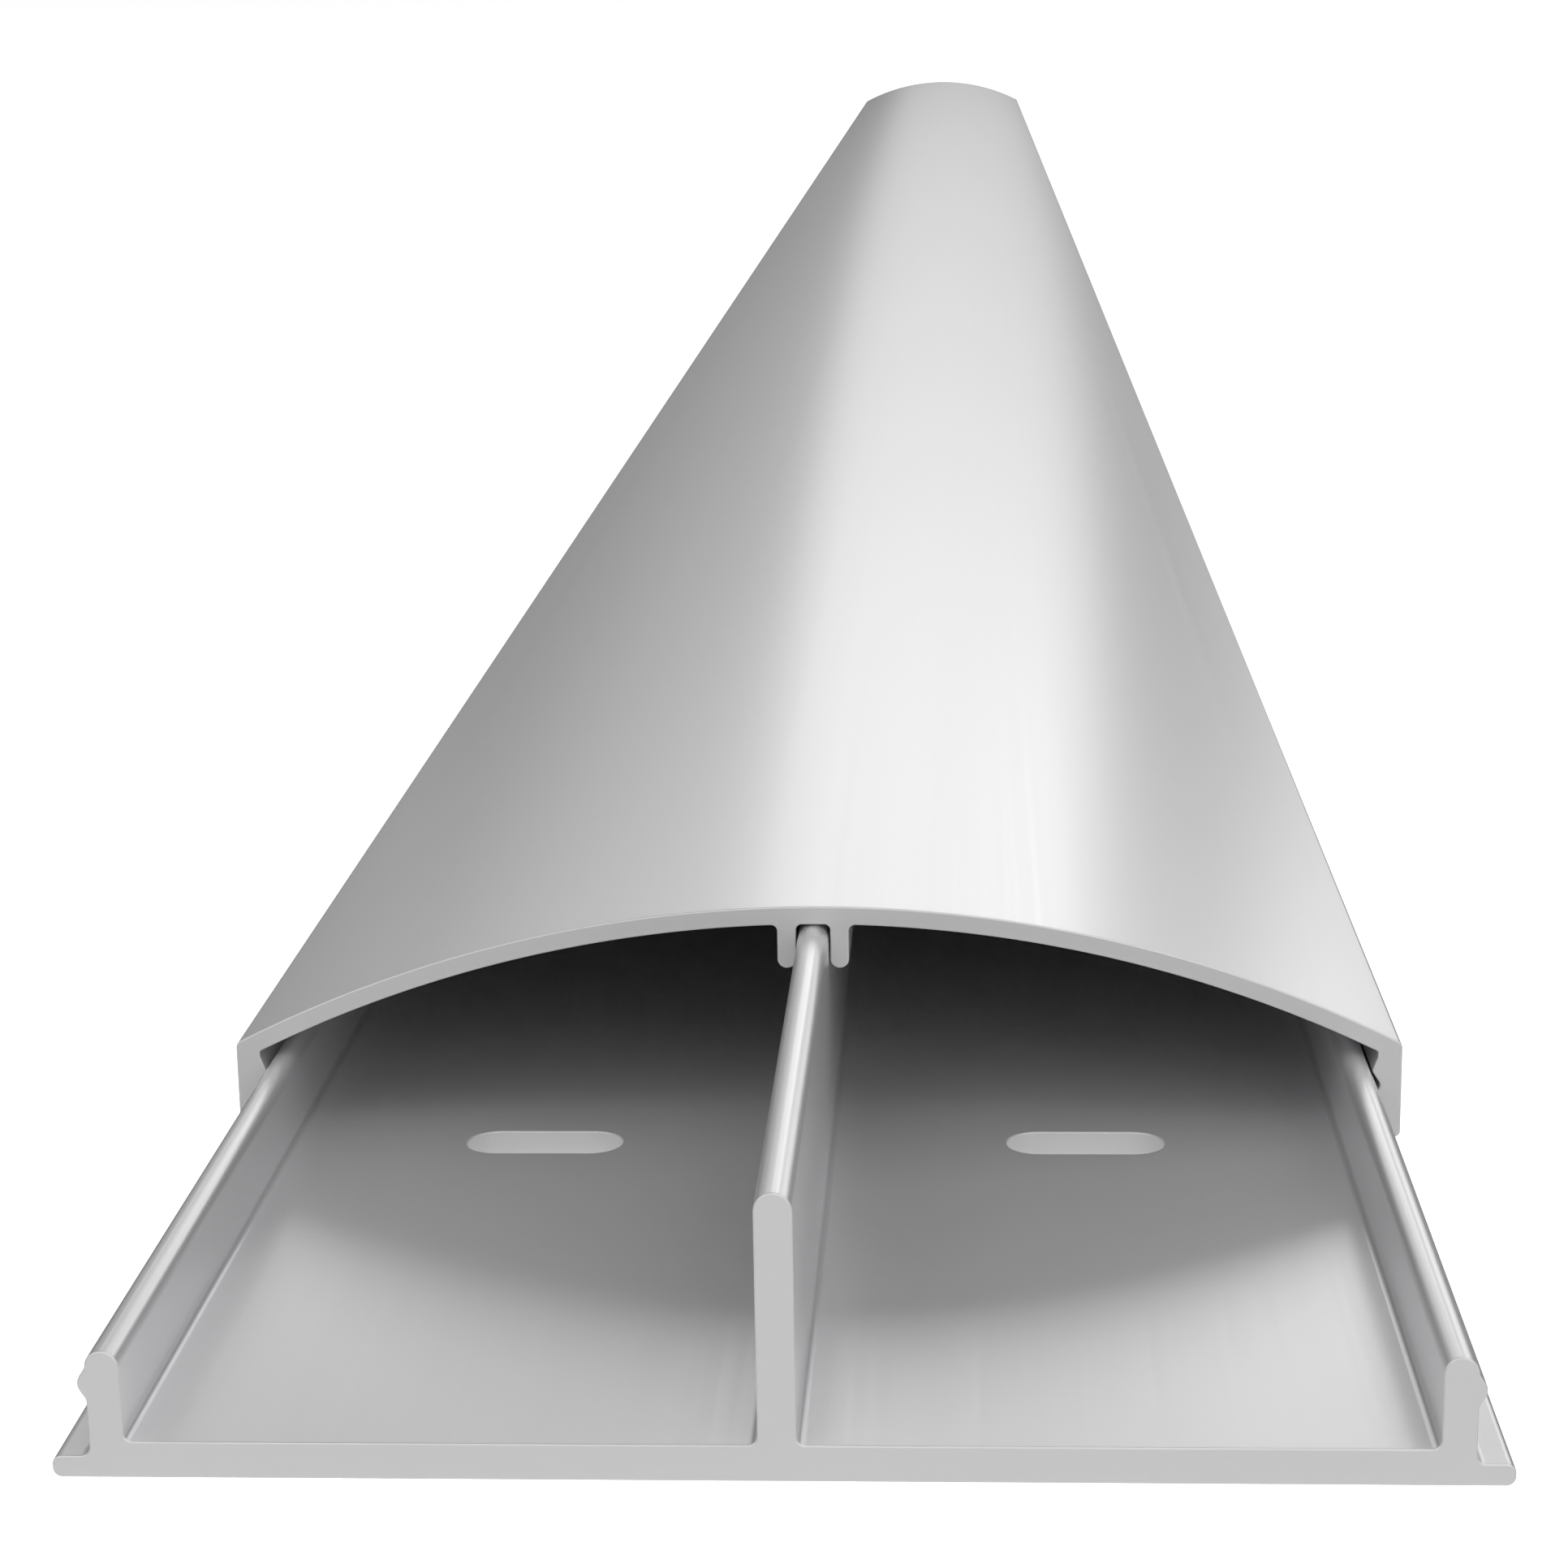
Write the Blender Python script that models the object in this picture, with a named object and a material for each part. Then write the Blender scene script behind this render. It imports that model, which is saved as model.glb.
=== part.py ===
"""Floor cable raceway: a two-compartment base extrusion and the arched cover that snaps over it.

Lengths are in metres. X runs across the raceway, Y along it and Z up. The base lies on the floor at Z = 0,
and the origin is under the middle of the whole. Both extrusions are cut to the same length, and the cover is
slid along the base, so that the near end of the base shows its section.
"""

import math

import bmesh
import bpy

MM = 0.001

# Lengths along the raceway
STOCK_LENGTH = 1500 * MM
COVER_SETBACK = 47.5 * MM

# Base plate and feet
BASE_WIDTH = 75 * MM
PLATE = 2.0 * MM
FOOT = 1.2 * MM
FOOT_ROUND = 0.5 * MM
FILLET = 0.5 * MM

# Side walls and their snap beads
WALL_OUTSIDE = 35.5 * MM
WALL_THICKNESS = 1.8 * MM
WALL_TOP = 7.0 * MM
BEAD_REACH = 0.56 * MM
BEAD_HEIGHT = 5.2 * MM
BEAD_FOOT = 4.3 * MM
BEAD_ROUND = 0.75 * MM
NECK_ROUND = 0.4 * MM

# Divider in the middle of the base
DIVIDER_THICKNESS = 2.0 * MM
DIVIDER_TOP = 15.7 * MM

# Screw slots, which lie across the base in the middle of each compartment
SLOT_LENGTH = 10 * MM
SLOT_WIDTH = 4 * MM
SLOT_FROM_END = 45 * MM
SLOT_STATIONS = 6

# Arched cover
TOTAL_HEIGHT = 17.0 * MM
COVER_HALF_WIDTH = 37.65 * MM
COVER_THICKNESS = 1.2 * MM
ARCH_RADIUS = 82 * MM
SHOULDER_ROUND = 0.6 * MM
SEAT_GAP = 0.3 * MM

# Inside of the cover's skirts, measured from the middle of the raceway
SKIRT_INSIDE = 36.1 * MM
RIDGE_INSIDE = 35.75 * MM
RIDGE_HEIGHT = 5.95 * MM
GROOVE_INSIDE = 36.35 * MM
LIP_INSIDE = 35.72 * MM
LIP_HEIGHT = 4.1 * MM
SKIRT_ROUND = 0.4 * MM
RIDGE_ROUND = 0.2 * MM

# Ribs under the cover that clasp the divider
RIB_GAP = 2.2 * MM
RIB_THICKNESS = 1.2 * MM
RIB_DEPTH = 2.9 * MM
RIB_FILLET = 0.4 * MM

# Fineness of the round stretches, and distances in metres under which points are one
ARC_STEP = math.radians(15)
FEWEST_ARC_STEPS = 2
ARCH_SEGMENTS = 24
SMOOTH_ANGLE = math.radians(30)
SAME_POINT = 1e-7
WELD_DISTANCE = 1e-6

# Satin anodised aluminium
BASE_COLOUR, BASE_ROUGHNESS = (0.80, 0.80, 0.81), 0.38
COVER_COLOUR, COVER_ROUGHNESS = (0.82, 0.82, 0.83), 0.34


def clear_scene():
    """Removes the objects of the scene that the script is run in."""
    for thing in list(bpy.data.objects):
        bpy.data.objects.remove(thing, do_unlink=True)


def new_collection(name, hidden=False):
    collection = bpy.data.collections.new(name)
    collection.hide_render = hidden
    bpy.context.scene.collection.children.link(collection)
    return collection


def metal(name, colour, roughness):
    """Satin anodised aluminium."""
    material = bpy.data.materials.new(name)
    material.use_nodes = True
    shader = material.node_tree.nodes["Principled BSDF"]
    shader.inputs["Base Color"].default_value = (*colour, 1)
    shader.inputs["Roughness"].default_value = roughness
    shader.inputs["Metallic"].default_value = 1
    return material


def mirrored(half):
    """A closed outline from its right half, which starts and ends near the middle line."""
    return half + [(-x, z, radius) for x, z, radius in reversed(half)]


def corner_arc(before, corner, after):
    """The points of the arc that rounds one corner of an outline, or the corner itself where it stays sharp."""
    x, z, radius = corner
    if radius == 0:
        return [(x, z)]
    back = (before[0] - x, before[1] - z)
    ahead = (after[0] - x, after[1] - z)
    back_length, ahead_length = math.hypot(*back), math.hypot(*ahead)
    back = (back[0] / back_length, back[1] / back_length)
    ahead = (ahead[0] / ahead_length, ahead[1] / ahead_length)
    half_angle = math.acos(max(-1, min(1, back[0] * ahead[0] + back[1] * ahead[1]))) / 2
    middle = (back[0] + ahead[0], back[1] + ahead[1])
    reach = radius / math.sin(half_angle) / math.hypot(*middle)
    centre = (x + middle[0] * reach, z + middle[1] * reach)
    tangent = radius / math.tan(half_angle)
    start = math.atan2(z + back[1] * tangent - centre[1], x + back[0] * tangent - centre[0])
    end = math.atan2(z + ahead[1] * tangent - centre[1], x + ahead[0] * tangent - centre[0])
    turn = (end - start + math.pi) % (2 * math.pi) - math.pi
    steps = max(FEWEST_ARC_STEPS, math.ceil(abs(turn) / ARC_STEP))
    angles = [start + turn * step / steps for step in range(steps + 1)]
    return [(centre[0] + radius * math.cos(angle), centre[1] + radius * math.sin(angle)) for angle in angles]


def rounded(corners):
    """The points of an outline given by its corners, each as (x, z, rounding radius)."""
    points = []
    for index, corner in enumerate(corners):
        arc = corner_arc(corners[index - 1], corner, corners[(index + 1) % len(corners)])
        for point in arc:
            if not points or math.dist(point, points[-1]) > SAME_POINT:
                points.append(point)
    if math.dist(points[0], points[-1]) <= SAME_POINT:
        points.pop()
    return points


def base_section():
    """Corners of the base's section, from the middle of the divider down to the middle of the underside."""
    divider = DIVIDER_THICKNESS / 2
    inside = WALL_OUTSIDE - WALL_THICKNESS
    foot_tip = BASE_WIDTH / 2
    top_round = WALL_THICKNESS / 2
    half = [
        (divider, DIVIDER_TOP, divider),
        (divider, PLATE, FILLET),
        (inside, PLATE, FILLET),
        (inside, WALL_TOP, top_round),
        (WALL_OUTSIDE, WALL_TOP, top_round),
        (WALL_OUTSIDE, WALL_TOP - top_round, 0),
        (WALL_OUTSIDE + BEAD_REACH, BEAD_HEIGHT, BEAD_ROUND),
        (WALL_OUTSIDE, BEAD_FOOT, NECK_ROUND),
        (WALL_OUTSIDE, FOOT, FILLET),
        (foot_tip, FOOT, FOOT_ROUND),
        (foot_tip, 0, FOOT_ROUND),
    ]
    return rounded(mirrored(half))


def arch_height(radius, x):
    """Height at x of an arch of this radius, about the centre that both faces of the cover share."""
    return TOTAL_HEIGHT - ARCH_RADIUS + math.sqrt(radius ** 2 - x ** 2)


def arch(radius, half_width):
    """Points of the right half of an arch, from the crown out to half_width."""
    widest = math.asin(half_width / radius)
    steps = [radius * math.sin(widest * step / ARCH_SEGMENTS) for step in range(ARCH_SEGMENTS + 1)]
    return [(x, arch_height(radius, x), 0) for x in steps]


def cover_section():
    """Corners of the cover's section, from the crown round one skirt and back to the inside of one rib."""
    inner_radius = ARCH_RADIUS - COVER_THICKNESS
    outside, underside = arch(ARCH_RADIUS, COVER_HALF_WIDTH), arch(inner_radius, SKIRT_INSIDE)
    inner_corner = arch_height(inner_radius, SKIRT_INSIDE)
    bottom = FOOT + SEAT_GAP
    groove_height = (RIDGE_HEIGHT + LIP_HEIGHT) / 2
    rib_inside = RIB_GAP / 2
    rib_outside = rib_inside + RIB_THICKNESS
    crown = TOTAL_HEIGHT - COVER_THICKNESS
    rib_end = crown - RIB_DEPTH
    half = outside[1:-1] + [
        (COVER_HALF_WIDTH, arch_height(ARCH_RADIUS, COVER_HALF_WIDTH), SHOULDER_ROUND),
        (COVER_HALF_WIDTH, bottom, SKIRT_ROUND),
        (LIP_INSIDE, bottom, SKIRT_ROUND),
        (LIP_INSIDE, LIP_HEIGHT, RIDGE_ROUND),
        (GROOVE_INSIDE, groove_height, SKIRT_ROUND),
        (RIDGE_INSIDE, RIDGE_HEIGHT, RIDGE_ROUND),
        (SKIRT_INSIDE, inner_corner - SKIRT_ROUND, 0),
        (SKIRT_INSIDE, inner_corner, RIDGE_ROUND),
    ]
    half += [point for point in reversed(underside[:-1]) if point[0] > rib_outside + RIB_FILLET]
    half += [
        (rib_outside, arch_height(inner_radius, rib_outside), RIB_FILLET),
        (rib_outside, rib_end, RIB_THICKNESS / 2),
        (rib_inside, rib_end, RIB_THICKNESS / 2),
        (rib_inside, crown, RIB_FILLET),
    ]
    return rounded([outside[0]] + mirrored(half))


def flat_outline(name, points, thickness):
    """A filled flat curve in its own XY plane, extruded evenly to both sides."""
    curve = bpy.data.curves.new(name, "CURVE")
    curve.dimensions = "2D"
    curve.fill_mode = "BOTH"
    curve.extrude = thickness / 2
    spline = curve.splines.new("POLY")
    spline.points.add(len(points) - 1)
    for point, (x, y) in zip(spline.points, points):
        point.co = (x, y, 0, 1)
    spline.use_cyclic_u = True
    return bpy.data.objects.new(name, curve)


def as_mesh(curve_object, collection):
    """The curve object as one closed mesh object of the same name and place, in the collection."""
    name = curve_object.name
    bpy.context.scene.collection.objects.link(curve_object)
    bpy.context.view_layer.update()
    graph = bpy.context.evaluated_depsgraph_get()
    mesh = bpy.data.meshes.new_from_object(curve_object.evaluated_get(graph))
    place = curve_object.matrix_world.copy()
    bpy.data.objects.remove(curve_object, do_unlink=True)
    shape = bmesh.new()
    shape.from_mesh(mesh)
    bmesh.ops.remove_doubles(shape, verts=shape.verts, dist=WELD_DISTANCE)
    bmesh.ops.recalc_face_normals(shape, faces=shape.faces)
    shape.to_mesh(mesh)
    shape.free()
    mesh.name = name
    solid = bpy.data.objects.new(name, mesh)
    solid.matrix_world = place
    collection.objects.link(solid)
    return solid


def extrusion(name, section, centre_y, material, collection):
    """A length of stock with this section in the XZ plane, centred along Y."""
    outline = flat_outline(name, section, STOCK_LENGTH)
    outline.rotation_euler = (math.pi / 2, 0, 0)
    outline.location = (0, centre_y, 0)
    stock = as_mesh(outline, collection)
    stock.data.materials.clear()
    stock.data.materials.append(material)
    stock.data.shade_smooth()
    stock.data.set_sharp_from_angle(angle=SMOOTH_ANGLE)
    return stock


def slot_outline():
    """A slot with round ends, longer across the base than it is wide."""
    half_length, half_width = SLOT_LENGTH / 2, SLOT_WIDTH / 2
    signs = ((1, 1), (-1, 1), (-1, -1), (1, -1))
    return rounded([(half_length * sx, half_width * sy, half_width) for sx, sy in signs])


def slot_cutters(base_centre, collection):
    """One cutter for each screw slot, in pairs along the base."""
    compartment_middle = (DIVIDER_THICKNESS / 2 + WALL_OUTSIDE - WALL_THICKNESS) / 2
    through_plate = 3 * PLATE
    first = as_mesh(flat_outline("slot_cutter", slot_outline(), through_plate), collection)
    pitch = (STOCK_LENGTH - 2 * SLOT_FROM_END) / (SLOT_STATIONS - 1)
    near_slot = base_centre - STOCK_LENGTH / 2 + SLOT_FROM_END
    for station in range(SLOT_STATIONS):
        for side in (-1, 1):
            cutter = bpy.data.objects.new(f"slot_cutter_{station + 1}", first.data)
            cutter.location = (side * compartment_middle, near_slot + station * pitch, PLATE / 2)
            cutter.hide_render = True
            cutter.display_type = "WIRE"
            collection.objects.link(cutter)
    bpy.data.objects.remove(first, do_unlink=True)


def build():
    clear_scene()
    raceway = new_collection("cable_raceway")
    cutters = new_collection("cutters", hidden=True)
    base_centre, cover_centre = -COVER_SETBACK / 2, COVER_SETBACK / 2
    base_metal = metal("base_aluminium", BASE_COLOUR, BASE_ROUGHNESS)
    cover_metal = metal("cover_aluminium", COVER_COLOUR, COVER_ROUGHNESS)
    base = extrusion("base_channel", base_section(), base_centre, base_metal, raceway)
    extrusion("snap_cover", cover_section(), cover_centre, cover_metal, raceway)
    slot_cutters(base_centre, cutters)
    slots = base.modifiers.new("screw_slots", "BOOLEAN")
    slots.operation = "DIFFERENCE"
    slots.solver = "EXACT"
    slots.operand_type = "COLLECTION"
    slots.collection = cutters


build()
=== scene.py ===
"""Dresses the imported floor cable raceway: two extrusions with finely rounded sections in satin aluminium, on a pale
studio floor.

Lengths are in metres. X runs across the raceway, Y along it and Z up, and the near end is the one at low Y.
"""

import bpy
import numpy as np
from mathutils import Euler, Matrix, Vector


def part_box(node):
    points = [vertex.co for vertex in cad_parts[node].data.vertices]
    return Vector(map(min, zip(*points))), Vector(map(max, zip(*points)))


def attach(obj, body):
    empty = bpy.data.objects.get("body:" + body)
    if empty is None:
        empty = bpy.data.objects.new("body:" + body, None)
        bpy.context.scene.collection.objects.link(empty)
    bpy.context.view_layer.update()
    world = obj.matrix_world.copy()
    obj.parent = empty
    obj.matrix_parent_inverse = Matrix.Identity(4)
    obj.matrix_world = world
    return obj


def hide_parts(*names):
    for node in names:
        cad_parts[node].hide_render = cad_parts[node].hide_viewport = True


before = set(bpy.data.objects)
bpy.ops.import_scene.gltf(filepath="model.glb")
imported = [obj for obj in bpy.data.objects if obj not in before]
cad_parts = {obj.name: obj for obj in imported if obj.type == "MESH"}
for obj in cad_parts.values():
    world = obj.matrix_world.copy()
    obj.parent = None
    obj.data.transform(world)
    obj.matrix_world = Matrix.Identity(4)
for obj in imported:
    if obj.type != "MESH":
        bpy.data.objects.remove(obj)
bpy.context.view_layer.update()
base_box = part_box("base_channel")
cover_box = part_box("snap_cover")

bl_info = {
    "name": "Cable raceway",
    "version": (1, 0, 0),
    "blender": (4, 5, 0),
    "location": "3D View > Sidebar > Raceway",
    "description": "Makes a two-compartment floor cable raceway: a base channel and the arched cover clipped over it",
    "category": "Add Mesh",
}

MM = 0.001

# Fineness of the surfaces
ARC_STEP = np.radians(7.5)
CHORD = 0.5 * MM
RIM_STEPS = 4
SLOT_STEPS = 16
COVER_ROWS = 32
SAME_POINT = 1e-7

# Surface marks: noise scales per metre in each direction, and the depth of the marks
DIE_LINE_SCALE = (2600, 1.2, 2600)
CLOUD_SCALE = (28, 5, 28)
SAW_MARK_SCALE = (400, 400, 5200)
SAW_MARK_TURN = (0, 0.5, 0)
MARK_DEPTH = 0.002 * MM
CLOUDING = 0.008
ROUGHNESS_RANGE = 0.16
LINE_DETAIL, CLOUD_DETAIL = 2.0, 3.0
FLOOR_CLOUD_SCALE = (1.5, 1.5, 1.5)
FLOOR_CLOUDING = 0.01
FLOOR_ROUGHNESS = 0.9

# Studio: the place that the softboxes point at, and the floor's drop below the raceway
LIT_PLACE = (0, -0.5, 0)
FLOOR_GAP = 0.02 * MM

# Softboxes: azimuth and elevation in degrees, distance, width and height in metres, power in watts
SOFTBOXES = {
    "back_light": (2.5, 19, 3.5, 0.85, 1.15, 5),
    "back_right_light": (16, 21, 3.5, 0.95, 0.85, 2.9),
    "back_left_light": (-13, 22, 3, 0.9, 0.8, 2.2),
    "right_strip": (25, 12, 2.5, 0.6, 0.75, 2),
    "left_strip": (-27, 12, 2.5, 0.65, 0.75, 0.55),
    "right_light": (90, 60, 2.5, 3, 3, 27),
    "right_front_light": (150, 18, 2.5, 3, 1.3, 13),
    "front_light": (180, 48, 2.5, 3, 2, 16),
    "left_front_light": (-120, 40, 2.5, 3, 2.4, 19),
}

# Camera: place in metres, turn to the left of +Y, tilt down and roll in degrees, its frame, and the range it sees
CAMERA_PLACE = (0.00964, -0.93036, 0.07541)
CAMERA_TURN, CAMERA_TILT, CAMERA_ROLL = 2.76, -13.84, -0.86
CAMERA_LENS, CAMERA_SHIFT = 76.43, -0.015
CAMERA_NEAR, CAMERA_FAR = 0.01, 1000


def length(name, description, default):
    """A length property in metres."""
    return bpy.props.FloatProperty(
        name=name, description=description, default=default, min=0, precision=5, unit="LENGTH")


def share(name, description, default):
    """A property that runs from nothing to all."""
    return bpy.props.FloatProperty(
        name=name, description=description, default=default, min=0, max=1, subtype="FACTOR")


def colour(name, description, default):
    """A colour property."""
    return bpy.props.FloatVectorProperty(
        name=name, description=description, default=default, min=0, max=1, size=3, subtype="COLOR")


class RacewayBaseSizes(bpy.types.PropertyGroup):
    """Section of the base channel and its screw slots."""

    plate: length("Plate", "Thickness of the floor plate", 2.0 * MM)
    foot: length("Foot", "Thickness of the feet outside the side walls", 1.2 * MM)
    foot_round: length("Foot round", "Rounding of the foot tips", 0.5 * MM)
    fillet: length("Fillet", "Rounding of the inner corners", 0.5 * MM)
    wall_outside: length("Wall outside", "From the middle to the outer face of a side wall", 35.5 * MM)
    wall_thickness: length("Wall thickness", "Thickness of the side walls", 1.8 * MM)
    wall_top: length("Wall top", "Height of the side walls", 7.0 * MM)
    bead_top: length("Bead top", "Height at which the bead leaves the wall", 6.05 * MM)
    bead_reach: length("Bead reach", "How far the clip bead stands proud of the side wall", 0.56 * MM)
    bead_height: length("Bead height", "Height of the bead's widest line", 5.2 * MM)
    bead_foot: length("Bead foot", "Height at which the bead runs back into the wall", 4.3 * MM)
    bead_round: length("Bead round", "Rounding of the bead", 0.75 * MM)
    bead_top_round: length("Bead top round", "Rounding above the bead", 0.15 * MM)
    neck_round: length("Neck round", "Rounding below the bead", 0.4 * MM)
    divider_thickness: length("Divider thickness", "Thickness of the middle divider", 2.0 * MM)
    slot_length: length("Slot length", "Length of a screw slot, across the base", 10.0 * MM)
    slot_width: length("Slot width", "Width of a screw slot, along the base", 4.0 * MM)
    slot_from_end: length("Slot from end", "From the base's end to the middle of its first slots", 45.0 * MM)
    slot_stations: bpy.props.IntProperty(
        name="Slot stations", description="Pairs of screw slots along the base", default=6, min=2)


class RacewayCoverSizes(bpy.types.PropertyGroup):
    """Section of the arched cover."""

    thickness: length("Thickness", "Thickness of the arched skin", 1.2 * MM)
    arch_radius: length("Arch radius", "Radius of the arch's outer face", 82.0 * MM)
    shoulder_round: length("Shoulder round", "Rounding between the arch and the skirts", 0.6 * MM)
    skirt_inside: length("Skirt inside", "From the middle to the inner face of a skirt", 36.1 * MM)
    skirt_round: length("Skirt round", "Rounding of a skirt's lower edge and of its groove", 0.4 * MM)
    ridge_inside: length("Ridge inside", "From the middle to the clip ridge", 35.75 * MM)
    ridge_height: length("Ridge height", "Height of the clip ridge", 5.95 * MM)
    ridge_round: length("Ridge round", "Rounding of the ridge, the lip and the inner corner", 0.2 * MM)
    groove_inside: length("Groove inside", "From the middle to the bottom of the groove", 36.35 * MM)
    lip_inside: length("Lip inside", "From the middle to the lip under the groove", 35.72 * MM)
    lip_height: length("Lip height", "Height of the lip's upper edge", 4.1 * MM)
    rib_gap: length("Rib gap", "Space between the two ribs", 2.2 * MM)
    rib_thickness: length("Rib thickness", "Thickness of a rib", 1.2 * MM)
    rib_depth: length("Rib depth", "How far the ribs reach below the skin", 2.9 * MM)
    rib_fillet: length("Rib fillet", "Rounding between the ribs and the skin", 0.4 * MM)


class RacewayFinish(bpy.types.PropertyGroup):
    """Satin anodised aluminium and its sawn ends."""

    base_colour: colour("Base colour", "Metal of the base channel", (0.80, 0.80, 0.81))
    cover_colour: colour("Cover colour", "Metal of the cover", (0.80, 0.80, 0.81))
    # The sawn colour is the plainer finish of the cut ends and slot walls, darkened as painted shade on them.
    sawn_colour_with_painted_shade: colour("Sawn colour", "Metal of the cut ends and slots", (0.62, 0.62, 0.62))
    roughness: share("Roughness", "Roughness of the extruded faces", 0.31)
    sawn_roughness: share("Sawn roughness", "Roughness of the cut ends and slots", 0.44)
    metallic: share("Metallic", "How metallic the anodised surface is", 0.6)
    sawn_metallic: share("Sawn metallic", "How metallic the cut ends and slots are", 0.3)
    die_lines: share("Die lines", "Strength of the faint lines left along the extrusions by the die", 0.35)
    saw_marks: share("Saw marks", "Strength of the faint marks on the cut ends", 0.35)
    edge_break: length("Edge break", "Rounding of the cut edges", 0.12 * MM)


class RacewayStage(bpy.types.PropertyGroup):
    """Floor and lights of the studio."""

    floor_size: length("Floor size", "Side of the square floor", 400.0)
    floor_colour: colour("Floor colour", "Pale floor", (0.80, 0.80, 0.80))
    floor_glow: share("Floor glow", "Light that comes through the pale floor, as on a light table", 0.92)
    surround_colour: colour("Surround colour", "Light that comes from all round", (1.0, 1.0, 1.0))
    surround_strength: bpy.props.FloatProperty(
        name="Surround strength", description="Strength of the light from all round", default=0.08, min=0)
    backdrop_strength: bpy.props.FloatProperty(
        name="Backdrop strength", description="Brightness of the backdrop beyond the floor", default=0.98, min=0)
    light_strength: bpy.props.FloatProperty(
        name="Light strength", description="Factor on the power of every softbox", default=1.0, min=0)


def rounded(corners):
    """Points and outward normals of a closed outline that runs clockwise, from its corners (x, z, radius).

    A corner that turns by t with radius r becomes an arc, which starts r tan(|t| / 2) before the corner. At heading
    h the arc has gone r (sin h - sin h0, cos h0 - cos h) from its start for a left turn and the opposite for a right
    turn, and the outward normal there is (-sin h, cos h). Neighbouring arcs are joined by straight sides.
    """
    corners = np.asarray(corners, float)
    corner, radius = corners[:, :2], corners[:, 2]
    side = np.roll(corner, -1, axis=0) - corner
    ahead = np.arctan2(side[:, 1], side[:, 0])
    behind = np.roll(ahead, 1)
    turn = (ahead - behind + np.pi) % (2 * np.pi) - np.pi
    fine = np.maximum(np.abs(turn) / ARC_STEP, np.abs(turn) * radius / CHORD)
    steps = np.maximum(1, np.ceil(fine - SAME_POINT)).astype(int)
    which = np.repeat(np.arange(len(corners)), steps + 1)
    first = np.repeat(np.cumsum(steps + 1) - steps - 1, steps + 1)
    start_heading = behind[which]
    heading = start_heading + turn[which] * (np.arange(len(which)) - first) / steps[which]
    into = np.stack([np.cos(behind), np.sin(behind)], axis=1)
    start = corner - into * (radius * np.tan(np.abs(turn) / 2))[:, None]
    gone = np.stack([np.sin(heading) - np.sin(start_heading), np.cos(start_heading) - np.cos(heading)], axis=1)
    points = start[which] + gone * (np.sign(turn) * radius)[which][:, None]
    normals = np.stack([-np.sin(heading), np.cos(heading)], axis=1)
    kept = np.linalg.norm(points - np.roll(points, 1, axis=0), axis=1) > SAME_POINT
    return points[kept], normals[kept]


def mirrored(half):
    """Corners of a whole outline from its right half, which starts and ends near the middle line."""
    return half + [(-x, z, radius) for x, z, radius in reversed(half)]


def base_corners(sizes, half_width, height, slot_ends):
    """Corners of the base's section, from the divider's top round the right side and back along the left.

    slot_ends are the places across the base where the straight sides of a slot end. They are corners that turn by
    nothing, on the plate's upper and under side, and they give the grid the columns that the slots need.
    """
    divider = sizes.divider_thickness / 2
    inside = sizes.wall_outside - sizes.wall_thickness
    top_round = sizes.wall_thickness / 2
    half = [
        (divider, height, divider),
        (divider, sizes.plate, sizes.fillet),
        *[(x, sizes.plate, 0) for x in slot_ends],
        (inside, sizes.plate, sizes.fillet),
        (inside, sizes.wall_top, top_round),
        (sizes.wall_outside, sizes.wall_top, top_round),
        (sizes.wall_outside, sizes.bead_top, sizes.bead_top_round),
        (sizes.wall_outside + sizes.bead_reach, sizes.bead_height, sizes.bead_round),
        (sizes.wall_outside, sizes.bead_foot, sizes.neck_round),
        (sizes.wall_outside, sizes.foot, sizes.fillet),
        (half_width, sizes.foot, sizes.foot_round),
        (half_width, 0, sizes.foot_round),
        *[(x, 0, 0) for x in reversed(slot_ends)],
    ]
    return mirrored(half)


def tangent_corner(radius, crown, first, last):
    """The corner whose rounding is an arch, from its radius, its crown's height and the angles of its two ends.

    The tangents at the two angles meet at radius / cos(half of the angle between them) from the arch's centre.
    """
    middle, half = (first + last) / 2, (last - first) / 2
    reach = radius / np.cos(half)
    return reach * np.sin(middle), crown - radius + reach * np.cos(middle), radius


def tangent_height(radius, crown, angle, x):
    """Height at x of the arch's tangent at an angle: x sin a + (z - centre) cos a = radius."""
    return crown - radius + (radius - x * np.sin(angle)) / np.cos(angle)


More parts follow.
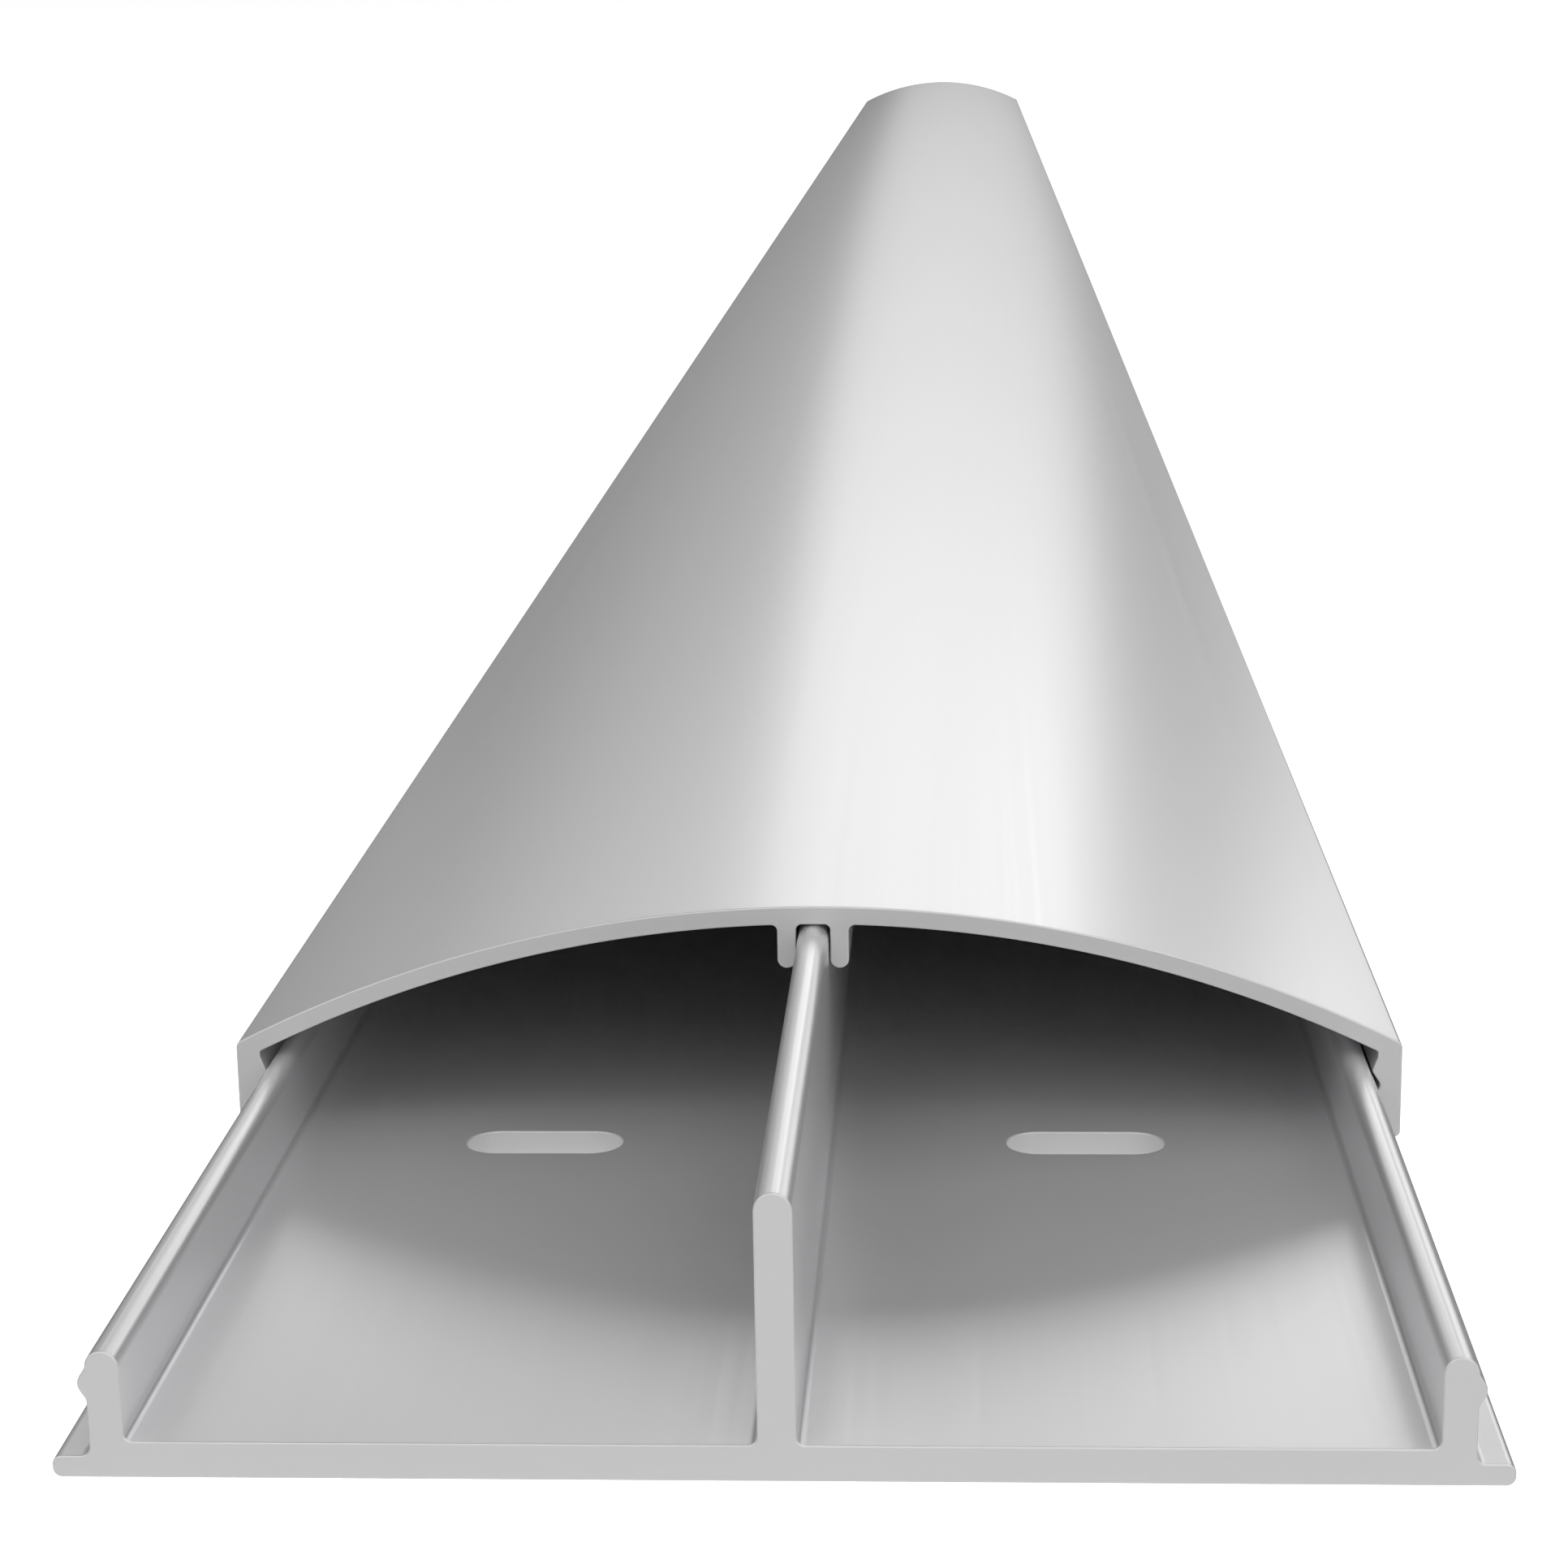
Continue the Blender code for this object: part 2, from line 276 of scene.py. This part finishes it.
def cover_corners(sizes, half_width, bottom, crown):
    """Corners of the cover's section, clockwise from the crown of the arch.

    Each end of an arch lies where the rounding beside it touches it, so the angle there has the sine
    (x of that rounding's centre) / (its distance from the arch's centre).
    """
    outer, inner = sizes.arch_radius, sizes.arch_radius - sizes.thickness
    inner_crown = crown - sizes.thickness
    rib_in = sizes.rib_gap / 2
    rib_out = rib_in + sizes.rib_thickness
    rib_end = inner_crown - sizes.rib_depth
    groove_height = (sizes.ridge_height + sizes.lip_height) / 2
    shoulder = np.arcsin((half_width - sizes.shoulder_round) / (outer - sizes.shoulder_round))
    corner_end = np.arcsin((sizes.skirt_inside - sizes.ridge_round) / (inner - sizes.ridge_round))
    rib_start = np.arcsin((rib_out + sizes.rib_fillet) / (inner - sizes.rib_fillet))
    inner_corner = tangent_height(inner, inner_crown, corner_end, sizes.skirt_inside)
    half = [
        (half_width, tangent_height(outer, crown, shoulder, half_width), sizes.shoulder_round),
        (half_width, bottom, sizes.skirt_round),
        (sizes.lip_inside, bottom, sizes.skirt_round),
        (sizes.lip_inside, sizes.lip_height, sizes.ridge_round),
        (sizes.groove_inside, groove_height, sizes.skirt_round),
        (sizes.ridge_inside, sizes.ridge_height, sizes.ridge_round),
        (sizes.skirt_inside, inner_corner - sizes.skirt_round, sizes.ridge_round),
        (sizes.skirt_inside, inner_corner, sizes.ridge_round),
        tangent_corner(inner, inner_crown, rib_start, corner_end),
        (rib_out, tangent_height(inner, inner_crown, rib_start, rib_out), sizes.rib_fillet),
        (rib_out, rib_end, sizes.rib_thickness / 2),
        (rib_in, rib_end, sizes.rib_thickness / 2),
        (rib_in, inner_crown, sizes.rib_fillet),
    ]
    return [tangent_corner(outer, crown, -shoulder, shoulder)] + mirrored(half)


def stock_rows(low, high, edge, between):
    """Place along Y, tilt and inset of each row of a length of stock, from its near end to its far end.

    The cut edge is a quarter circle of radius edge: at tilt a the surface is edge (1 - cos a) inside the outline and
    edge (1 - |sin a|) from the end. The rows in between have no tilt.
    """
    quarter = np.linspace(np.pi / 2, 0, RIM_STEPS + 1)
    from_end = edge * (1 - np.sin(quarter))
    places = np.concatenate([low + from_end, between, (high - from_end)[::-1]])
    tilts = np.concatenate([-quarter, np.zeros(len(between)), quarter[::-1]])
    return places, tilts, edge * (1 - np.cos(tilts))


def swept(points, normals, places, tilts, insets):
    """Vertices and normals of a grid: the outline carried along Y, one row for each place.

    A vertex is outline - inset x outline normal, at the row's place, and its normal is the outline's normal times
    cos(tilt), with sin(tilt) along Y.
    """
    across = points[None] - insets[:, None, None] * normals[None]
    tilted = np.cos(tilts)[:, None, None] * normals[None]
    along = np.broadcast_to(places[:, None], across.shape[:2])
    lean = np.broadcast_to(np.sin(tilts)[:, None], across.shape[:2])
    vertices = np.stack([across[..., 0], along, across[..., 1]], axis=-1)
    return vertices, np.stack([tilted[..., 0], lean, tilted[..., 1]], axis=-1)


def stock_faces(rows, columns, left_out=False):
    """Faces of a stock's grid, closed round its columns, and its two ends, without what left_out marks."""
    index = np.arange(rows * columns).reshape(rows, columns)
    beside = np.roll(index, -1, axis=1)
    sides = np.stack([index[:-1], beside[:-1], beside[1:], index[1:]], axis=-1)
    kept = ~np.broadcast_to(left_out, sides.shape[:2])
    return sides[kept].tolist() + [index[0, ::-1].tolist(), index[-1].tolist()]


def column_at(points, x, z):
    """The outline's point nearest to a place in its section."""
    return int(np.argmin(np.hypot(points[:, 0] - x, points[:, 1] - z)))


def new_piece(name, vertices, normals, sawn, faces, material):
    """A mesh object at the origin with its own vertex normals and the share of sawn surface at each vertex."""
    mesh = bpy.data.meshes.new(name)
    mesh.from_pydata(vertices.tolist(), [], faces)
    mesh.update()
    mesh.shade_smooth()
    mesh.normals_split_custom_set_from_vertices(normals.tolist())
    mesh.attributes.new("sawn", "FLOAT", "POINT").data.foreach_set("value", sawn.astype(np.float32))
    mesh.materials.append(material)
    piece = bpy.data.objects.new(name, mesh)
    bpy.context.scene.collection.objects.link(piece)
    return piece


class ScrewSlots:
    """Measures of the screw slots: the base's sizes, with the broken edge round each slot, between the base's ends."""

    def __init__(self, sizes, edge, near_end, far_end):
        self.edge = edge
        self.plate = sizes.plate
        self.radius = sizes.slot_width / 2
        self.rim = self.radius + edge
        self.straight = sizes.slot_length / 2 - self.radius
        self.middle = (sizes.divider_thickness / 2 + sizes.wall_outside - sizes.wall_thickness) / 2
        self.ends = (self.middle - self.straight, self.middle + self.straight)
        self.stations = np.linspace(near_end + sizes.slot_from_end, far_end - sizes.slot_from_end, sizes.slot_stations)
        self.round = np.linspace(0, np.pi, SLOT_STEPS + 1)
        self.rows = self.stations[:, None] - self.rim * np.cos(self.round)


def open_slots(grid, outline, slots):
    """Bends the base's grid round its slots, and gives the faces to leave out and the vertices round each rim.

    Over the rows of a slot, turn t runs from 0 to half a turn. The two columns where its straight sides end move
    apart by rim x sin t, and its rows lie at station - rim x cos t, so the columns follow its round ends. The faces
    between them are left out, on the plate's upper side and on its under side.
    """
    rows, columns = grid.shape[:2]
    index = np.arange(rows * columns).reshape(rows, columns)
    first = RIM_STEPS + 1
    slot_rows = first + np.arange(slots.rows.size).reshape(slots.rows.shape)
    bulge = np.zeros(rows)
    bulge[slot_rows] = slots.rim * np.sin(slots.round)
    left_out = np.zeros((rows - 1, columns), bool)
    rims = {}
    for height in (slots.plate, 0):
        loops = []
        for side in (-1, 1):
            left, right = (column_at(outline, side * slots.middle + end, height)
                           for end in (-slots.straight, slots.straight))
            grid[:, left, 0] -= bulge
            grid[:, right, 0] += bulge
            left_out[slot_rows[:, :-1].ravel(), min(left, right):max(left, right)] = True
            loops.append(np.concatenate([index[slot_rows, left], index[slot_rows, right][:, ::-1]], axis=1))
        rims[height] = np.concatenate(loops)
    return left_out, rims[slots.plate], rims[0]


def slot_walls(slots):
    """Vertices and normals of the walls of the screw slots: slots x rings x places round the slot.

    Ring k has the angle a, from 0 on the plate's upper side to half a turn on its under side. It follows the slot's
    outline at radius + edge (1 - sin a), at the depth edge (1 - |cos a|) from the nearer side, and its normal leans
    from the plate's normal by a towards the slot's middle. The first and last rings are the grid's own vertices.
    """
    quarter = np.linspace(0, np.pi / 2, RIM_STEPS + 1)
    angles = np.concatenate([quarter[1:], np.pi - quarter[::-1][:-1]])
    depths = slots.edge * (1 - np.abs(np.cos(angles)))
    heights = np.where(np.arange(len(angles)) < RIM_STEPS, slots.plate - depths, depths)
    outward = np.stack([
        np.concatenate([-np.sin(slots.round), np.sin(slots.round[::-1])]),
        np.concatenate([-np.cos(slots.round), -np.cos(slots.round[::-1])])], axis=1)
    end = np.repeat([-slots.straight, slots.straight], SLOT_STEPS + 1)
    reach = slots.radius + slots.edge * (1 - np.sin(angles))
    ring = np.empty((len(angles), len(end), 3))
    ring[..., 0] = end + reach[:, None] * outward[:, 0]
    ring[..., 1] = reach[:, None] * outward[:, 1]
    ring[..., 2] = heights[:, None]
    lean = np.empty_like(ring)
    lean[..., :2] = -np.sin(angles)[:, None, None] * outward
    lean[..., 2] = np.cos(angles)[:, None]
    places = np.array([(x, y, 0) for x in (-slots.middle, slots.middle) for y in slots.stations])
    vertices = places[:, None, None] + ring
    return vertices, np.broadcast_to(lean, vertices.shape)


def wall_faces(upper_rims, under_rims, rings, first_vertex):
    """Four-sided faces of the slots' walls, from the rims on the upper side through the rings to the under side."""
    slots, places = upper_rims.shape
    numbers = first_vertex + np.arange(slots * rings * places).reshape(slots, rings, places)
    stack = np.concatenate([upper_rims[:, None], numbers, under_rims[:, None]], axis=1)
    beside = np.roll(stack, -1, axis=2)
    faces = np.stack([stack[:, :-1], stack[:, 1:], beside[:, 1:], beside[:, :-1]], axis=-1)
    return faces.reshape(-1, 4)


class Signal:
    """One output of a material's nodes. Arithmetic on it adds Math nodes."""

    def __init__(self, look, socket):
        self.look = look
        self.socket = socket

    def maths(self, operation, first, second):
        return self.look.node("ShaderNodeMath", {"operation": operation}, {0: first, 1: second})

    def __add__(self, other):
        return self.maths("ADD", self, other)

    def __radd__(self, other):
        return self.maths("ADD", other, self)

    def __sub__(self, other):
        return self.maths("SUBTRACT", self, other)

    def __rsub__(self, other):
        return self.maths("SUBTRACT", other, self)

    def __mul__(self, other):
        return self.maths("MULTIPLY", self, other)

    def __rmul__(self, other):
        return self.maths("MULTIPLY", other, self)


class Look:
    """A material and its nodes."""

    def __init__(self, name):
        self.material = bpy.data.materials.new(name)
        self.material.use_nodes = True
        self.tree = self.material.node_tree
        self.tree.nodes.clear()

    def node(self, kind, settings=None, values=None, output=0):
        """Adds a node: its settings first, then its sockets' values or links. Gives one of its outputs, if any."""
        made = self.tree.nodes.new(kind)
        for name, value in (settings or {}).items():
            setattr(made, name, value)
        for name, value in (values or {}).items():
            if isinstance(value, Signal):
                self.tree.links.new(value.socket, made.inputs[name])
            else:
                made.inputs[name].default_value = value
        return Signal(self, made.outputs[output]) if made.outputs else None

    def place(self):
        """Object coordinates, in metres."""
        return self.node("ShaderNodeTexCoord", output=3)

    def noise(self, scale, detail, turn=(0, 0, 0)):
        """Noise from 0 to 1, with a scale per metre in each direction."""
        turned = self.node("ShaderNodeMapping", {}, {"Vector": self.place(), "Rotation": turn, "Scale": scale})
        return self.node("ShaderNodeTexNoise", {}, {"Vector": turned, "Scale": 1.0, "Detail": detail})

    def blend(self, factor, first, second):
        """A colour between two colours."""
        return self.node("ShaderNodeMix", {"data_type": "RGBA"}, {0: factor, 6: first, 7: second}, output=2)

    def finish(self, values):
        """Ends the nodes in a Principled shader with these values or links."""
        shader = self.node("ShaderNodeBsdfPrincipled", {}, values)
        self.node("ShaderNodeOutputMaterial", {}, {"Surface": shader})
        return self.material


def shade_of(tone, factor):
    """A colour with full alpha, lightened or darkened by a factor."""
    return (*[min(1, part * factor) for part in tone], 1)


def aluminium(name, finish, metal_colour):
    """Satin anodised aluminium: faint lines along the extrusion, soft clouding, and plainer sawn ends.

    Die lines are noise stretched along Y. They vary the roughness a little and tip the surface by a breath. The
    clouding is wide noise that lightens and darkens the metal by a percent or two. The sawn share of the surface
    takes its own roughness and metallic share, with short slanting marks, and a darker colour that is painted shade
    on the cut ends and in the slot walls.
    """
    look = Look(name)
    sawn = look.node("ShaderNodeAttribute", {"attribute_name": "sawn"}, output=2)
    lines = look.noise(DIE_LINE_SCALE, LINE_DETAIL) - 0.5
    cloud = look.noise(CLOUD_SCALE, CLOUD_DETAIL) - 0.5
    marks = look.noise(SAW_MARK_SCALE, LINE_DETAIL, SAW_MARK_TURN) - 0.5
    metal = look.blend(cloud + 0.5, shade_of(metal_colour, 1 - CLOUDING), shade_of(metal_colour, 1 + CLOUDING))
    # Cut ends and slot walls take the darker sawn colour: painted shade over their own finish.
    colour_here = look.blend(sawn, metal, shade_of(finish.sawn_colour_with_painted_shade, 1))
    drawn = finish.roughness + lines * (ROUGHNESS_RANGE * finish.die_lines)
    cut = finish.sawn_roughness + marks * (ROUGHNESS_RANGE * finish.saw_marks)
    height = lines * finish.die_lines * (1 - sawn) + marks * finish.saw_marks * sawn
    return look.finish({
        "Base Color": colour_here,
        "Metallic": finish.metallic + sawn * (finish.sawn_metallic - finish.metallic),
        "Roughness": drawn + (cut - drawn) * sawn,
        "Normal": look.node("ShaderNodeBump", {}, {"Height": height, "Distance": MARK_DEPTH, "Strength": 1.0})})


def pale_floor(floor_colour, glow):
    """Matt pale floor with very soft clouding, which glows evenly as if lit from below."""
    look = Look("pale_floor")
    cloud = look.noise(FLOOR_CLOUD_SCALE, LINE_DETAIL)
    tone = look.blend(cloud, shade_of(floor_colour, 1 - FLOOR_CLOUDING), shade_of(floor_colour, 1))
    return look.finish({
        "Base Color": tone,
        "Roughness": FLOOR_ROUGHNESS,
        "Emission Color": (1, 1, 1, 1),
        "Emission Strength": glow})


def softbox(name, azimuth, elevation, distance, width, height, power):
    """An oblong soft light that points at LIT_PLACE. Its azimuth is from +Y towards +X, in degrees."""
    turn, rise = np.radians(azimuth), np.radians(elevation)
    away = Vector((np.sin(turn) * np.cos(rise), np.cos(turn) * np.cos(rise), np.sin(rise)))
    lamp = bpy.data.lights.new(name, "AREA")
    lamp.shape, lamp.size, lamp.size_y, lamp.energy = "RECTANGLE", width, height, power
    box = bpy.data.objects.new(name, lamp)
    box.location = Vector(LIT_PLACE) + away * distance
    box.rotation_euler = away.to_track_quat("Z", "Y").to_euler()
    box.visible_camera = False
    bpy.context.scene.collection.objects.link(box)
    return box


def ride_in_place(piece, replaced):
    """Fixes a piece to the root body where it stands, and hides the part's own node that it replaces."""
    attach(piece, "root")
    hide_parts(replaced)


class RACEWAY_OT_base(bpy.types.Operator):
    """Make the base channel with its divider, clip beads, feet and screw slots"""

    bl_idname = "raceway.base"
    bl_label = "Base channel"

    def execute(self, context):
        sizes, finish = context.scene.raceway_base, context.scene.raceway_finish
        low, high = base_box
        slots = ScrewSlots(sizes, finish.edge_break, low.y, high.y)
        outline, outward = rounded(base_corners(sizes, high.x, high.z, slots.ends))
        places, tilts, insets = stock_rows(low.y, high.y, finish.edge_break, slots.rows.ravel())
        grid, leans = swept(outline, outward, places, tilts, insets)
        left_out, upper_rims, under_rims = open_slots(grid, outline, slots)
        walls, wall_leans = slot_walls(slots)
        faces = stock_faces(*grid.shape[:2], left_out)
        faces += wall_faces(upper_rims, under_rims, walls.shape[1], grid.size // 3).tolist()
        piece = new_piece(
            "base_extrusion",
            np.concatenate([grid.reshape(-1, 3), walls.reshape(-1, 3)]),
            np.concatenate([leans.reshape(-1, 3), wall_leans.reshape(-1, 3)]),
            # The slot walls count as sawn, so they take the darker sawn colour, which is partly painted shade.
            np.concatenate([np.abs(leans[..., 1]).ravel(), np.ones(walls.size // 3)]),
            faces,
            aluminium("base_satin_aluminium", finish, finish.base_colour))
        ride_in_place(piece, "base_channel")
        return {"FINISHED"}


class RACEWAY_OT_cover(bpy.types.Operator):
    """Make the arched cover with its skirts, clip ridges and ribs"""

    bl_idname = "raceway.cover"
    bl_label = "Arched cover"

    def execute(self, context):
        sizes, finish = context.scene.raceway_cover, context.scene.raceway_finish
        low, high = cover_box
        outline, outward = rounded(cover_corners(sizes, high.x, low.z, high.z))
        between = np.linspace(low.y, high.y, COVER_ROWS)[1:-1]
        places, tilts, insets = stock_rows(low.y, high.y, finish.edge_break, between)
        grid, leans = swept(outline, outward, places, tilts, insets)
        piece = new_piece(
            "cover_extrusion",
            grid.reshape(-1, 3),
            leans.reshape(-1, 3),
            np.abs(leans[..., 1]).ravel(),
            stock_faces(*grid.shape[:2]),
            aluminium("cover_satin_aluminium", finish, finish.cover_colour))
        ride_in_place(piece, "snap_cover")
        return {"FINISHED"}


class RACEWAY_OT_stage(bpy.types.Operator):
    """Make the pale floor, the soft lights and the camera"""

    bl_idname = "raceway.stage"
    bl_label = "Studio"

    def execute(self, context):
        stage = context.scene.raceway_stage
        self.make_floor(stage)
        for name, sizes in SOFTBOXES.items():
            softbox(name, *sizes).data.energy *= stage.light_strength
        context.scene.world = self.make_surround(stage)
        context.scene.view_settings.view_transform = "Standard"
        self.make_camera(context.scene)
        return {"FINISHED"}

    def make_surround(self, stage):
        """The soft light from all round, with a pale backdrop that only shows beyond the floor and lights nothing."""
        world = bpy.data.worlds.new("studio_surround")
        world.use_nodes = True
        tree = world.node_tree
        surround, backdrop = tree.nodes["Background"], tree.nodes.new("ShaderNodeBackground")
        for background, strength in ((surround, stage.surround_strength), (backdrop, stage.backdrop_strength)):
            background.inputs["Color"].default_value = (*stage.surround_colour, 1)
            background.inputs["Strength"].default_value = strength
        either = tree.nodes.new("ShaderNodeMixShader")
        seen = tree.nodes.new("ShaderNodeLightPath").outputs["Is Camera Ray"]
        tree.links.new(seen, either.inputs[0])
        tree.links.new(surround.outputs[0], either.inputs[1])
        tree.links.new(backdrop.outputs[0], either.inputs[2])
        tree.links.new(either.outputs[0], tree.nodes["World Output"].inputs["Surface"])
        return world

    def make_floor(self, stage):
        """A square floor just under the raceway. Reflections don't see it, so that the metal keeps its dark parts."""
        corners = np.array([(-1, -1, 0), (1, -1, 0), (1, 1, 0), (-1, 1, 0)]) * stage.floor_size / 2
        corners[:, 2] = -FLOOR_GAP
        mesh = bpy.data.meshes.new("floor")
        mesh.from_pydata(corners.tolist(), [], [(0, 1, 2, 3)])
        mesh.materials.append(pale_floor(stage.floor_colour, stage.floor_glow))
        floor = bpy.data.objects.new("floor", mesh)
        floor.visible_glossy = False
        bpy.context.scene.collection.objects.link(floor)

    def make_camera(self, scene):
        """The camera at the photograph's angle: turned about Z, then tilted, then rolled."""
        lens = bpy.data.cameras.new("camera")
        lens.lens, lens.shift_x = CAMERA_LENS, CAMERA_SHIFT
        lens.clip_start, lens.clip_end = CAMERA_NEAR, CAMERA_FAR
        turn, tilt, roll = np.radians([CAMERA_TURN, 90 + CAMERA_TILT, CAMERA_ROLL])
        aim = Euler((0, 0, turn)).to_matrix() @ Euler((tilt, 0, 0)).to_matrix() @ Euler((0, 0, roll)).to_matrix()
        camera = bpy.data.objects.new("camera", lens)
        camera.location = CAMERA_PLACE
        camera.rotation_euler = aim.to_euler()
        scene.collection.objects.link(camera)
        scene.camera = camera


class RACEWAY_PT_panel(bpy.types.Panel):
    """Sidebar panel with the raceway's sizes, finishes and operators"""

    bl_idname = "RACEWAY_PT_panel"
    bl_label = "Cable raceway"
    bl_space_type = "VIEW_3D"
    bl_region_type = "UI"
    bl_category = "Raceway"

    def draw(self, context):
        scene = context.scene
        for title, settings, operator in (
                ("Base", scene.raceway_base, RACEWAY_OT_base),
                ("Cover", scene.raceway_cover, RACEWAY_OT_cover),
                ("Finish", scene.raceway_finish, None),
                ("Stage", scene.raceway_stage, RACEWAY_OT_stage)):
            box = self.layout.box()
            box.label(text=title)
            for name in settings.__annotations__:
                box.prop(settings, name)
            if operator:
                box.operator(operator.bl_idname)


SETTINGS = {
    "raceway_base": RacewayBaseSizes,
    "raceway_cover": RacewayCoverSizes,
    "raceway_finish": RacewayFinish,
    "raceway_stage": RacewayStage,
}
CLASSES = (*SETTINGS.values(), RACEWAY_OT_base, RACEWAY_OT_cover, RACEWAY_OT_stage, RACEWAY_PT_panel)


def register():
    for item in CLASSES:
        bpy.utils.register_class(item)
    for name, group in SETTINGS.items():
        setattr(bpy.types.Scene, name, bpy.props.PointerProperty(type=group))


def unregister():
    for name in SETTINGS:
        delattr(bpy.types.Scene, name)
    for item in reversed(CLASSES):
        bpy.utils.unregister_class(item)


def main():
    """Makes the raceway and its studio."""
    register()
    bpy.ops.raceway.base()
    bpy.ops.raceway.cover()
    bpy.ops.raceway.stage()


if __name__ == "__main__":
    main()
